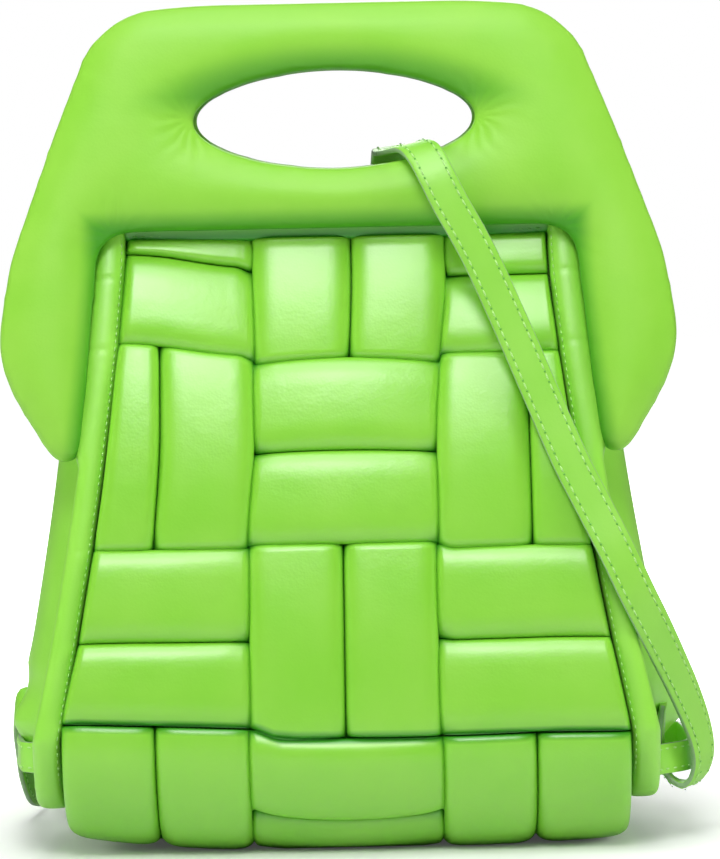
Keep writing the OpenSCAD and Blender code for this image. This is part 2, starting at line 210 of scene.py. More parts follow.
# The handles are duller, the strips catch the lamps, the edges are the palest, the strap has a finer grain
handle_leather = dyed_leather("handle_leather", "#89ce3b", "#91d144", roughness=0.48, shine=0.45)
weave_leather = dyed_leather("weave_leather", "#82cf30", "#8ad239", roughness=0.37, shine=1.0)
edge_leather = dyed_leather("edge_leather", "#8fdb42", "#98e04c")
strap_leather = dyed_leather("strap_leather", "#88d13d", "#91d648", roughness=0.45, grain_mm=0.8)
print("leathers:", [m.name for m in bpy.data.materials if "leather" in m.name])

# %% [markdown]
# Small things are sewn and painted. Thread is waxed polyester, paler than the leather and twisted, so it
# has fine slanting ridges. A needle hole is a dent, drawn as a dark dot of painted shade. The cut edges of
# the strap are painted: a smooth, slightly rubbery grey-green film. Each has one pattern that gives both
# its two tones and its relief, so one function makes them all, and the lining and the floor board later.

# %% Thread, needle holes and painted edges


def two_tone(name, pattern, low, high, roughness, relief_mm=0, strength=0.4, **settings):
    """Material that has one colour in the hollows of a pattern and another on its ridges."""
    made, tree, shader, where = start_material(name)
    height = add(tree, pattern, [("Vector", where)], **settings).outputs["Fac"]
    shade = add(tree, "ShaderNodeMix", [("Factor", height)], data_type="RGBA")
    shade.inputs["A"].default_value, shade.inputs["B"].default_value = linear(low), linear(high)
    tree.links.new(shade.outputs["Result"], shader.inputs["Base Color"])
    if relief_mm:
        relief = add(tree, "ShaderNodeBump", [("Height", height)],
                     Strength=strength, Distance=relief_mm * MM)
        tree.links.new(relief.outputs["Normal"], shader.inputs["Normal"])
    shader.inputs["Roughness"].default_value = roughness
    return made


def film_and_hole_shade(name, low, high):
    """Smooth finish with faint patches: the brushed-on film of edge paint, with patches where it dried, and
    the dark painted shade of needle holes.
    """
    return two_tone(name, "ShaderNodeTexNoise", low, high, 0.4, 0.15, 0.3, Scale=per_metre(2.5), Detail=3)


# Waxed thread: dull, with slanting ridges that break up the light; its twist is drawn coarser than real
thread = two_tone("waxed_thread", "ShaderNodeTexWave", "#a2dc72", "#c2ee9a", 0.6, 0.1,
                  bands_direction="DIAGONAL", Scale=rib_scale(0.7), Distortion=0.4)
# A needle hole is drawn as a dark dot between two stitches, a painted shade; edge paint makes a cut edge look
# sealed and even
needle_hole_shade = film_and_hole_shade("needle_hole_shade", "#6ab547", "#5fab3c")
edge_paint = film_and_hole_shade("edge_paint", "#86ab78", "#94b586")
print("small finishes:", [m.name for m in (thread, needle_hole_shade, edge_paint)])

# %% [markdown]
# ## Making and placing a piece
# Most pieces here are long and closed: a strip, a rolled border, a belt. They all start as the same thing, a
# capped cylinder whose sides are cut into rings. Each point then knows its way round (an angle) and its way
# along (0 to 1), and one function per piece says where that point belongs on the bag.

# %% Helpers for meshes


def clamp(v):
    """Keeps a value between 0 and 1."""
    return max(0, min(1, v))


def tube(rings, sides):
    """Closed cylinder of radius 1 along Z from 0 to 1, cut into rings."""
    bm = bmesh.new()
    bmesh.ops.create_cone(bm, cap_ends=True, segments=sides, radius1=1, radius2=1, depth=1,
                          matrix=Matrix.Translation((0, 0, 0.5)))
    upright = [e for e in bm.edges if abs(e.verts[0].co.z - e.verts[1].co.z) > 0.5]
    bmesh.ops.subdivide_edges(bm, edges=upright, cuts=rings - 2)
    return bm


def bend_tube(bm, place):
    """Moves every point of a tube to place(across, out, along); across and out run from -1 to 1."""
    for v in bm.verts:
        v.co = place(v.co.x, v.co.y, v.co.z)
    bmesh.ops.recalc_face_normals(bm, faces=bm.faces)


def power(v, exponent):
    """Signed power, for sections between an ellipse and a box."""
    return math.copysign(abs(v) ** exponent, v)


def make_piece(name, bm, *materials):
    """Object at the origin from a bmesh, with smooth shading."""
    mesh = bpy.data.meshes.new(name)
    bm.to_mesh(mesh)
    bm.free()
    for material in materials:
        mesh.materials.append(material)
    mesh.shade_smooth()
    made = bpy.data.objects.new(name, mesh)
    bpy.context.scene.collection.objects.link(made)
    return made


def dress(made, body, slot, *nodes):
    """The piece moves with a body and stands for these nodes, whose solids are hidden; slot is not used."""
    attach(made, body)
    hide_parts(*nodes)


def add_stitches(bm, spots, size, index):
    """Adds one short rounded stitch per (point, along, up) spot, with a material index."""
    stretch = Matrix.Diagonal([v / 2 * MM for v in size] + [1])
    for point, along, up in spots:
        side = up.cross(along).normalized()
        turn = Matrix((along.normalized(), side, along.cross(side).normalized())).transposed().to_4x4()
        made = bmesh.ops.create_icosphere(bm, subdivisions=1, radius=1,
                                          matrix=Matrix.Translation(point) @ turn @ stretch)
        for face in {f for v in made["verts"] for f in v.link_faces}:
            face.material_index = index


# %% [markdown]
# ## Shoulder strap
# The strap is a belt of two leather layers, 13 mm wide, sewn along both edges with painted sides. It is
# looped round the right keeper, crosses the front, goes over the rims of both hand holes and down the back,
# lies on its edge on the ground behind the bag, and is looped round the left keeper. The route repeats the
# solid model's list of points, each with the way its face looks; only its hidden first end is a little
# shorter. A cubic curve through the points makes the bends smooth, and the belt is a tube with a flat
# section. Cloth simulation would erase something this thin, so it is modelled directly.

# %% Strap: its route
# Every point is ((x, y, z) in millimetres, way that the outer face looks)
STRAP_W, STRAP_T = 13, 2.4
front_route = [
    ((113.6, -27, 48), (-1, 0.1, 0)), ((113, -27, 44), (-1, 0.1, -0.1)), ((112.6, -27, 39), (-1, 0.13, 0)),
    ((112.4, -27, 31), (-1, 0.13, 0)), ((113.4, -27, 25), (-0.85, 0.05, -0.5)),
    ((116.4, -27.2, 20.6), (-0.5, 0, -0.87)), ((120.6, -27.6, 19), (0.05, -0.05, -1)),
    ((124.6, -28.4, 21.2), (0.6, -0.3, -0.72)), ((126.8, -29.6, 26), (0.8, -0.5, -0.25)),
    ((127.2, -31, 31.5), (0.78, -0.62, 0)), ((125.9, -34, 38.5), (0.72, -0.7, 0.05)),
    ((123.4, -38.5, 46), (0.62, -0.78, 0.05)), ((119.6, -45, 55.5), (0.5, -0.86, 0.08)),
    ((114.4, -52.5, 67), (0.38, -0.92, 0.1)), ((108.6, -58.5, 79.5), (0.25, -0.96, 0.12)),
    ((102.6, -61.5, 92), (0.15, -0.97, 0.15)), ((96.3, -60.6, 106), (0.08, -0.98, 0.17)),
    ((88.7, -56.8, 121.6), (0.03, -0.98, 0.19)), ((80.7, -53.2, 138), (0, -0.98, 0.19)),
    ((72, -48.9, 159), (0, -0.98, 0.19)), ((61.7, -44.3, 184.3), (0, -0.98, 0.19)),
    ((51.5, -41.2, 208), (0, -0.98, 0.19)), ((46.5, -40.4, 218), (0, -0.98, 0.19)),
    ((40.5, -39.6, 229), (0, -0.98, 0.19)), ((35.7, -37.9, 239), (-0.1, -0.87, 0.46)),
    ((32.6, -34.2, 245.2), (-0.15, -0.7, 0.7)), ((30.2, -29.4, 248.2), (-0.2, -0.35, 0.92)),
    ((27.6, -22.4, 249.2), (-0.22, 0, 0.97)), ((24.2, -12, 248.2), (-0.16, 0, 0.98))]
back_route = [
    ((21.5, 0, 247.4), (-0.12, 0, 0.99)), ((20.3, 11, 247.5), (-0.12, 0, 0.99)),
    ((20, 20, 248.2), (-0.14, 0, 0.99)), ((19.8, 27.6, 247.5), (-0.1, 0.35, 0.92)),
    ((19.5, 33.4, 244.1), (-0.06, 0.7, 0.7)), ((19, 37.5, 236.6), (0, 0.87, 0.46)),
    ((18.5, 39.6, 227), (0, 0.98, 0.19)), ((18, 40.4, 217), (0, 0.98, 0.19)),
    ((17.5, 41.9, 200), (0, 0.98, 0.19)), ((17, 45.7, 178), (0, 0.98, 0.19)),
    ((16.8, 51, 150), (0, 0.98, 0.19)), ((17, 56.5, 122), (0, 0.98, 0.19)),
    ((17.8, 61.8, 95), (0, 0.98, 0.19)), ((20, 67, 68), (0, 0.99, 0.12))]
slack_route = [
    ((24, 71.5, 46), (0, 1, 0.05)), ((32, 74, 32), (0, 1, 0)), ((45, 76, 20), (0, 1, 0)),
    ((60, 77.5, 11.5), (0, 1, 0)), ((76, 78, 7.6), (0, 1, 0)), ((87, 80, 7), (-0.3, 1, 0)),
    ((95.5, 87, 7), (-0.85, 0.6, 0)), ((97, 96, 7), (-1, -0.1, 0)), ((92, 105, 7), (-0.6, -0.8, 0)),
    ((82, 110, 7), (-0.3, -1, 0)), ((60, 112, 7), (0, -1, 0)), ((20, 113, 7), (0, -1, 0)),
    ((-30, 113, 7), (0, -1, 0)), ((-74, 111.5, 7), (0.1, -1, 0)), ((-95, 106, 7), (0.4, -0.9, 0)),
    ((-108, 95, 7.2), (0.75, -0.65, 0)), ((-115, 80, 8), (0.95, -0.3, 0)), ((-117.5, 62, 10), (1, -0.1, 0)),
    ((-119, 46, 14), (1, -0.1, 0)), ((-120.2, 33, 23), (1, -0.15, 0)), ((-120.6, 22.5, 33), (1, -0.1, 0)),
    ((-120.8, 13.3, 42.3), (1, -0.05, 0)), ((-119.6, 7.8, 47.8), (0.9, 0.3, -0.3)),
    ((-117, 5.8, 49.8), (0, 0.7, -0.7)), ((-114.6, 7.8, 47.8), (-0.9, 0.3, -0.3)),
    ((-113.8, 13.3, 42.3), (-1, 0.05, 0)), ((-113, 22.5, 33), (-1, 0.1, 0)), ((-112, 30, 26), (-1, 0.15, 0)),
    ((-115.4, 39, 18), (-1, 0.1, 0))]
print("route:", len(front_route), "points in front,", len(back_route), "behind,", len(slack_route), "slack")

# %% Strap: smooth line with a frame at every ring
RING_STEP = 2.2  # millimetres between rings


def smooth(points, faces):
    """Cubic line through the points: rings of (point, along, across, face), and the ring of each point."""
    last = len(points) - 1
    slopes = [(points[min(i + 1, last)] - points[max(i - 1, 0)]) / 2 for i in range(last + 1)]
    line, looks, knots = [], [], [0]
    for i in range(last):
        reach = (points[i + 1] - points[i]).length
        slope_a = slopes[i].normalized() * reach / 3
        slope_b = slopes[i + 1].normalized() * reach / 3
        steps = max(2, round(reach / (RING_STEP * MM)))
        piece = geometry.interpolate_bezier(points[i], points[i] + slope_a, points[i + 1] - slope_b,
                                            points[i + 1], steps + 1)
        keep = piece if i == last - 1 else piece[:-1]
        line += keep
        looks += [faces[i].lerp(faces[i + 1], k / steps) for k in range(len(keep))]
        knots.append(knots[-1] + steps)
    rings = []
    for k, point in enumerate(line):
        along = (line[min(k + 1, len(line) - 1)] - line[max(k - 1, 0)]).normalized()
        across = along.cross(looks[k]).normalized()
        rings.append((point, along, across, across.cross(along)))
    return rings, knots


route = front_route + back_route + slack_route
strap_rings, strap_knots = smooth([Vector(p) * MM for p, _ in route], [Vector(f) for _, f in route])
front_end = strap_knots[len(front_route)]
back_end = strap_knots[len(front_route) + len(back_route)]
stretches = {"strap_front": strap_rings[:front_end + 1], "strap_back": strap_rings[front_end:back_end + 1],
             "strap_slack": strap_rings[back_end:]}
print("strap rings:", {k: len(v) for k, v in stretches.items()})

# %% Strap: belt, painted edges and two rows of stitches
STITCH_PITCH, STITCH_INSET = 4.0, 2.3
STITCH_SIZE, HOLE_SIZE = (2.9, 0.75, 0.5), (0.9, 0.9, 0.36)  # length, width and height
BELT_SQUARE, BELT_ROUND = 0.3, 0.55  # powers of the section across and through the belt
PAINTED = 0.45  # how far round the side the edge paint reaches
PROUD = 0.02  # middle of a stitch over the face


def stitch_spots(rings, side):
    """Spots every stitch pitch along one edge of the belt's outer face."""
    spots, way = [], 0
    for (a, along, across, face), (b, *_) in zip(rings, rings[1:]):
        reach = (b - a).length / MM
        for due in range(math.ceil(way / STITCH_PITCH), math.ceil((way + reach) / STITCH_PITCH)):
            middle = a.lerp(b, (due * STITCH_PITCH - way) / reach)
            spot = across * side * (STRAP_W / 2 - STITCH_INSET) + face * (STRAP_T / 2 + PROUD)
            spots.append((middle + spot * MM, along, face))
        way += reach
    return spots[1:-1]


def paint_sides(bm):
    """Gives the narrow sides of a tube the second material."""
    for face in bm.faces:
        if abs(face.calc_center_median().y) < PAINTED and len(face.verts) == 4:
            face.material_index = 1


def belt(name, rings):
    """One stretch of the strap."""
    bm = tube(len(rings), 24)
    last = len(rings) - 1

    def place(across, out, along):
        point, _, sideways, face = rings[round(along * last)]
        wide = power(across, BELT_SQUARE) * STRAP_W / 2
        thick = power(out, BELT_ROUND) * STRAP_T / 2
        return point + (sideways * wide + face * thick) * MM

    paint_sides(bm)
    bend_tube(bm, place)
    for side in (-1, 1):
        spots = stitch_spots(rings, side)
        add_stitches(bm, spots, STITCH_SIZE, 2)
        # needle holes between the stitches: dark dots of painted shade
        holes = [(p + a.normalized() * STITCH_PITCH / 2 * MM, a, u) for p, a, u in spots[:-1]]
        add_stitches(bm, holes, HOLE_SIZE, 3)
    return make_piece(name, bm, strap_leather, edge_paint, thread, needle_hole_shade)


straps = {name: belt(name + "_belt", rings) for name, rings in stretches.items()}
for name, rings in stretches.items():
    path = [r[0] for r in rings]
    length = sum((b - a).length for a, b in zip(path, path[1:]))
    print(name, "length", round(length, 4), "m")
    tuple(path[0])
    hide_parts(name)

# %% [markdown]
# The stretches of the strap on the front and the back keep the place where they were made, and the slack
# stretch on the ground moves with the base.

# %% Strap: where its stretches belong
for name, wall, side in (("strap_front", "front_wall", -1), ("strap_back", "rear_wall", 1)):
    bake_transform(straps[name])
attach(straps["strap_slack"], "base")
print("strap:", sorted(straps))

# %% [markdown]
# ## Floor, backdrop and light
# The bag stands on a plain white sweep under large soft lamps. Two stand above and in front and give the
# pale tops and the dark undersides of the rolls. Two at the sides lift the gussets; they are hidden from
# reflections, because a second gleam along each edge makes leather look like plastic. One behind lights the
# rear. The floor glows only for the camera, more with the way from the bag: far off it is seen as white,
# close to the bag it glows less, a painted shade round the bag that deepens its real shadow, and it throws no
# extra light.

# %% Stage
FLOOR_SIZE = 8


def white_sweep():
    """Matt white that glows for the camera: little near the bag, a painted shade that deepens the real shadow
    there, and plain white away from it.
    """
    made, tree, shader, where = start_material("white_sweep")
    shader.inputs["Base Color"].default_value = linear("#ececec")
    shader.inputs["Roughness"].default_value = 0.8
    shader.inputs["Specular IOR Level"].default_value = 0.1
    away = add(tree, "ShaderNodeVectorMath", [(0, where)], operation="LENGTH")
    # the glow grows with the way from the bag, so the floor near it is left greyer: painted shade
    fade = add(tree, "ShaderNodeMapRange", [("Value", away.outputs["Value"])],
               From_Min=0.09, From_Max=0.3, To_Min=0.05, To_Max=1.0)
    light = add(tree, "ShaderNodeLightPath").outputs
    glow = add(tree, "ShaderNodeMath", [(0, light["Is Camera Ray"]), (1, fade.outputs["Result"])],
               operation="MULTIPLY")
    shader.inputs["Emission Color"].default_value = (1, 1, 1, 1)
    tree.links.new(glow.outputs[0], shader.inputs["Emission Strength"])
    return made


bm = bmesh.new()
bmesh.ops.create_grid(bm, x_segments=1, y_segments=1, size=FLOOR_SIZE / 2)
floor = make_piece("floor", bm, white_sweep())


def soft_lamp(name, place, aim, size, watts):
    """Round area lamp at a place, turned to an aim."""
    data = bpy.data.lights.new(name, "AREA")
    data.shape, data.size, data.energy = "DISK", size, watts
    made = bpy.data.objects.new(name, data)
    made.location = place
    made.rotation_euler = (Vector(aim) - Vector(place)).to_track_quat("-Z", "Y").to_euler()
    bpy.context.scene.collection.objects.link(made)
    return made


BAG_MIDDLE = (0, 0, 0.15)
soft_lamp("lamp_above", (-0.05, -0.35, 1.4), (0, -0.02, 0.15), 0.8, 6.7)
soft_lamp("lamp_front", (-0.1, -1.2, 1.4), BAG_MIDDLE, 0.66, 14)
for side, name in ((-1, "lamp_left"), (1, "lamp_right")):
    soft_lamp(name, (side * 1.5, -0.5, 0.6), BAG_MIDDLE, 0.8, 10.5).visible_glossy = False
soft_lamp("lamp_behind", (0, 1.7, 0.75), BAG_MIDDLE, 0.9, 9)

world = bpy.data.worlds.new("studio")
world.use_nodes = True
bpy.context.scene.world = world
sky = world.node_tree.nodes["Background"]
rays = add(world.node_tree, "ShaderNodeLightPath").outputs
level = add(world.node_tree, "ShaderNodeMapRange", [("Value", rays["Is Camera Ray"])],
            To_Min=0.1, To_Max=1.0)
world.node_tree.links.new(level.outputs["Result"], sky.inputs["Strength"])
sky.inputs["Color"].default_value = (1, 1, 1, 1)
bpy.context.scene.view_settings.view_transform = "Standard"

# %% [markdown]
# ## Handle panels
# Each handle is two leather faces sewn round a slab of foam, with an oval hole for the hand. It could be
# modelled as a rounded slab, but a cloth simulation gives the fullness that foam gives. A copy of the solid
# is remeshed into even quads, its faces are drawn in to a full roll, and it is filled with pressure for a
# few frames while the seam is held. The way that a point may go is capped, so that the outline stays. Then
# formulas add what is too small to simulate: fine folds and a dent where the skin is gathered, a painted
# shade on the rims that roll under over the weave and over the hole, and top corners that hang a little.
# The rear panel is the front one mirrored.

# %% Handle: simulated padding
VOXEL = 3.2  # side of one quad before it is made finer
DRAW_IN, MOST_SWELL = 1.0, 3.6  # faces go in before the pressure, and out by no more than this
SIM_FRAMES = 20
SEAM_FACING = 0.3  # faces turned further from the wall than this are the seam
ROUND_IN, RIM_W = 14, 0.8  # width of the rolled edge, and flat width left at its rim
TOP_DROP = 4  # how far the top corners hang
DROP_X, DROP_W, DROP_S, DROP_H = 38, 46, 300, 45  # from where and over what way they do
NOTCH_S, WINDOW_SIDE = 262.9, 9.4  # lower edge of the panel over the weave, and its side beyond the weave
HOLE_S, HOLE_W, HOLE_H = 302.8, 50.8, 17.5  # middle and half axes of the hand hole
RIM_SHADE, RIM_SHADE_W = 0.85, 8  # painted shade on the rim over the weave
HOLE_SHADE, HOLE_SHADE_W = 0.7, 10  # painted shade on the rim over the hole
PUCKER_REACH = 40  # beyond this the skin is smooth
FOLD_H, FOLD_REACH, DENT, DENT_REACH = 0.2, 12, 1.4, 15  # gathered folds and the dent round them
WALL_OUT = Vector((0, -math.cos(LEAN), math.sin(LEAN)))
WALL_UP = Vector((0, math.sin(LEAN), math.cos(LEAN)))
WALL_FOOT = on_bag(0, WALL_S, 0)
# x, s and number of folds where the skin is gathered: the ends of the hole and the inner corners
PUCKERS = [(side * x, s, turns) for side in (-1, 1) for x, s, turns in ((50, HOLE_S, 15), (78, 261, 14))]


def copy_of_node(name, made_name):
    """A loose-triangle node as one closed mesh of its own."""
    bm = bmesh.new()
    bm.from_mesh(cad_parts[name].data)
    bmesh.ops.remove_doubles(bm, verts=bm.verts, dist=0.01 * MM)
    return make_piece(made_name, bm)


def apply_modifiers(made):
    """Replaces the mesh by what its modifiers show."""
    mesh = bpy.data.meshes.new_from_object(made.evaluated_get(bpy.context.evaluated_depsgraph_get()))
    made.modifiers.clear()
    made.data = mesh


def fill_with_pressure(made, seam):
    """Cloth under inner pressure without gravity, held at the seam; returns where its points end."""
    made.vertex_groups.new(name="seam").add(seam, 1, "REPLACE")
    cloth = made.modifiers.new("cloth", "CLOTH")
    cloth.settings.vertex_group_mass = "seam"
    cloth.settings.use_pressure = True
    cloth.settings.uniform_pressure_force = 4
    cloth.settings.effector_weights.gravity = 0
    cloth.settings.mass = 0.25
    cloth.settings.tension_stiffness = 10
    cloth.settings.compression_stiffness = 10
    cloth.settings.bending_stiffness = 0.8
    cloth.settings.quality = 6
    cloth.point_cache.frame_start, cloth.point_cache.frame_end = 1, SIM_FRAMES
    for step in range(1, SIM_FRAMES + 1):
        bpy.context.scene.frame_set(step)
    shown = made.evaluated_get(bpy.context.evaluated_depsgraph_get())
    ends = [v.co.copy() for v in shown.data.vertices]
    made.modifiers.clear()
    made.vertex_groups.clear()
    bpy.context.scene.frame_set(1)
    return ends


def ease(t):
    """Smooth step from 0 to 1."""
    t = clamp(t)
    return t * t * (3 - 2 * t)


def round_up(t):
    """Quarter round from 0 to 1: steep at first, then level."""
    return math.sqrt(1 - (1 - clamp(t)) ** 2)


def flat_place(point):
    """x and s of a point on the wall, and its n."""
    from_foot = point - WALL_FOOT
    return point.x / MM, WALL_S + from_foot.dot(WALL_UP) / MM, from_foot.dot(WALL_OUT) / MM


def roll_edges(made, seam):
    """Draws the faces in towards the seam, so that the section is a full roll and not a slab."""
    rim = KDTree(len(seam))
    for i in seam:
        co = made.data.vertices[i].co
        rim.insert(co - WALL_OUT * flat_place(co)[2] * MM, i)
    rim.balance()
    thick = max(abs(flat_place(v.co)[2]) for v in made.data.vertices)
    for v in made.data.vertices:
        n = flat_place(v.co)[2]
        in_plane = v.co - WALL_OUT * n * MM
        most = thick * round_up((rim.find(in_plane)[2] / MM + RIM_W) / ROUND_IN)
        v.co = in_plane + WALL_OUT * math.copysign(min(abs(n), most), n) * MM


def pucker(made):
    """Gathers the skin in fine folds, paints shade on the rims over the weave and the hole, and lets the top
    corners hang.
    """
    depth = made.data.attributes.new("depth", "FLOAT", "POINT")
    for v in made.data.vertices:
        x, s, n = flat_place(v.co)
        for px, ps, turns in PUCKERS:
            away = math.hypot(x - px, s - ps)
            if away < PUCKER_REACH:
                turn = turns * math.atan2(s - ps, x - px) + 3 * noise.noise(Vector((x, s, 0)) / 9)
                fold = FOLD_H * math.cos(turn) * math.exp(-(away / FOLD_REACH) ** 2) * clamp(away / 6)
                dent = DENT * math.exp(-(away / DENT_REACH) ** 2) - fold
                v.co -= WALL_OUT * math.copysign(dent, n) * MM * clamp(abs(n) / 5)
        # painted shade: the rim that rolls under over the weave, and the rim over the hole, which faces down
        into_window = max(s - NOTCH_S, abs(x) - half_w(min(s, NOTCH_S)) - WINDOW_SIDE)
        above_hole = HOLE_H * (math.hypot(x / HOLE_W, (s - HOLE_S) / HOLE_H) - 1)
        over_hole = ease(1 - above_hole / HOLE_SHADE_W) * clamp((s - HOLE_S) / 8)
        over_weave = ease(1 - into_window / RIM_SHADE_W)
        depth.data[v.index].value = max(RIM_SHADE * over_weave, HOLE_SHADE * over_hole)
        v.co.z -= TOP_DROP * clamp((abs(x) - DROP_X) / DROP_W) ** 2 * clamp((s - DROP_S) / DROP_H) * MM


def padded_handle():
    """The front panel, filled with foam."""
    made = copy_of_node("front_handle", "front_handle_pad")
    remesh = made.modifiers.new("even", "REMESH")
    remesh.mode, remesh.voxel_size = "VOXEL", VOXEL * MM
    apply_modifiers(made)
    normals = [v.normal.copy() for v in made.data.vertices]
    seam = [i for i, normal in enumerate(normals) if abs(normal.dot(WALL_OUT)) < SEAM_FACING]
    roll_edges(made, seam)
    for v, normal in zip(made.data.vertices, normals):
        v.co -= normal * DRAW_IN * MM * abs(normal.dot(WALL_OUT))
    far = []
    for v, end in zip(made.data.vertices, fill_with_pressure(made, seam)):
        way = end - v.co
        far.append(way.length / MM)
        v.co += way * min(1, MOST_SWELL * MM / max(way.length, 1e-9))
    print("handle: swells by up to", round(max(far), 2), "mm, mean", round(sum(far) / len(far), 2))
    bm = bmesh.new()
    bm.from_mesh(made.data)
    bmesh.ops.smooth_vert(bm, verts=bm.verts, factor=0.5, use_axis_x=True, use_axis_y=True, use_axis_z=True)
    bm.to_mesh(made.data)
    bm.free()
    finer = made.modifiers.new("finer", "SUBSURF")
    finer.levels = finer.render_levels = 2
    apply_modifiers(made)
    pucker(made)
    made.data.shade_smooth()
    made.data.materials.clear()
    made.data.materials.append(handle_leather)
    return made


front_handle = padded_handle()
bm = bmesh.new()
bm.from_mesh(front_handle.data)
bmesh.ops.scale(bm, vec=(1, -1, 1), verts=bm.verts)
bmesh.ops.recalc_face_normals(bm, faces=bm.faces)
rear_handle = make_piece("rear_handle_pad", bm, handle_leather)
for handle, wall in ((front_handle, "front"), (rear_handle, "rear")):
    dress(handle, wall + "_wall", "padded_leather", wall + "_handle")
print("handle pads:", len(front_handle.data.polygons), "faces each")

# %% [markdown]
# ## Padded strips of the weave
# The mat is woven from padded strips, two side by side for each step of the basket pattern. A strip has a
# nearly flat top with tightly rolled edges. Where it lies over, it swells, and it dives under the next pair
# within a few millimetres. Towards the top the whole mat bends back. Simulating 35 crossing strips would
# take long and would not keep each crossing in its place, so a strip is a tube bent by one rule of the place
# along it. A slow wander keeps the pattern from looking ruled, and the front rows and columns are pulled a
# little askew. The shift is the same for every strip at one place, so crossing strips still clear each other.

# %% Strips: the rules
STRIP_GAP, STRIP_TOP = 0.1, 262.0  # between neighbours, and where the upright strips end
OVER_TOP, OVER_BACK = 6.8, 0.8  # outer and inner face of a strip that lies over
UNDER_TOP, UNDER_BACK = -1.0, -5.6  # and of one that lies under
DIVE_OUT, DIVE_IN, BACK_DIVE = 4.6, 1.5, 8  # way that a dive takes on each side of a cell's edge
BULGE, END_ROLL = 2.0, 2.6  # swelling of an over cell, and rounding of a sewn end
EDGE_HEIGHT = 0.4  # height of the widest place of the section
WARP_POWER, WEFT_POWER = 0.38, 0.56  # 1 is an ellipse, less is more square
TOP_SINK, SINK_START, BACK_SINK = 13, 150, 0.5  # bend at the top, and the inner side's share of it
DEEPEST, SOFT_STOP = -6.2, 3  # no strip goes deeper, and it is pressed flat before that
CREASE_START, CREASE_FULL = 0.5, 4.6  # depth below the top where painted shade starts, and where it is darkest
CORNER_LIFT_LEFT, CORNER_LIFT_RIGHT, CORNER_LIFT_H = 7, 3, 45
CLEAR_OF_GROUND = 0.05


def sink(s):
    """The mat bends back towards its top edge."""
    return TOP_SINK * clamp((abs(s) - SINK_START) / (WEAVE_TOP - SINK_START)) ** 2


def near(s, middle, reach):
    """1 at a height on the mat, easing to 0 at a distance from it."""
    return ease(1 - abs(s - middle) / reach)


# Heights on the front mat where rows are pulled askew, each with its reach
FOOT_ROW, FOLD_ROW, LOW_ROW = (52, 14), (82, 40), (140, 45)
MID_ROW, HIGH_ROW, TOP_ROW = (205, 40), (216, 25), (250, 25)
SLIDE_LEFT, SLIDE_RIGHT = 3, 5  # the upper front slides to the right, by column
FOLD_CLIMB, FOLD_CLIMB_OUT = 3, 2.5  # the row at the fold climbs on the left, more towards the edge
LEFT_CLIMB, LEFT_CLIMB_OUT = 1.6, 5.4  # so do the upper rows
RIGHT_RISE, RIGHT_DROP, RIGHT_SAG = 1.5, 3, 1.6  # rows of the right column
ARCH, FOOT_ARCH = 2, 2.5  # rows of the middle column are bowed
WANDER_MM, WANDER_X, WANDER_S = 60, 0.7, 0.8  # size and most of the slow wander


def wander(x, s):
    """Small shift of the mat at a place, along x and along s; the front was pulled a little askew.

    Plain numbers here are places on the mat, and ways over which a shift comes in, in millimetres.
    """
    to_side = half_w(s) - abs(x)
    fade = clamp((WEAVE_TOP - abs(s)) / 30) * clamp(to_side / 20)
    at = Vector((x / WANDER_MM, s / WANDER_MM, 3.7))
    dx = WANDER_X * noise.noise(at) * fade
    ds = WANDER_S * noise.noise(at + Vector((9, 4, 0))) * fade
    if s < 0:
        return dx, ds
    loose, below_top = clamp(to_side / 12), clamp((STRIP_TOP - s) / 12)
    dx += loose * ease((s - 140) / 50) * SLIDE_LEFT * ease((45 - x) / 60)
    dx += loose * ease((s - 190) / 60) * SLIDE_RIGHT * clamp((x + 33) / 66)
    ds += FOLD_CLIMB * near(s, *FOLD_ROW) * ease(1 - (x + PITCH) / 12)
    aside = ease((abs(x) - PITCH) / 6)
    if x < -PITCH:
        climb = LEFT_CLIMB * aside + LEFT_CLIMB_OUT * ease((-x - 34) / 44)
        ds += ease((s - 165) / 51) * below_top * climb
        ds += near(s, *FOLD_ROW) * FOLD_CLIMB_OUT * clamp((-x - 33) / 60)
    elif x > PITCH:
        lift = (RIGHT_RISE * near(s, *HIGH_ROW) - RIGHT_DROP * near(s, *TOP_ROW)) * below_top
        ds += lift - RIGHT_SAG * aside * near(s, *LOW_ROW)
    else:
        bow = (x / PITCH) ** 2
        ds += (ARCH * (1 - bow) - 1) * near(s, *MID_ROW) + FOOT_ARCH * bow * near(s, *FOOT_ROW)
    return dx, ds


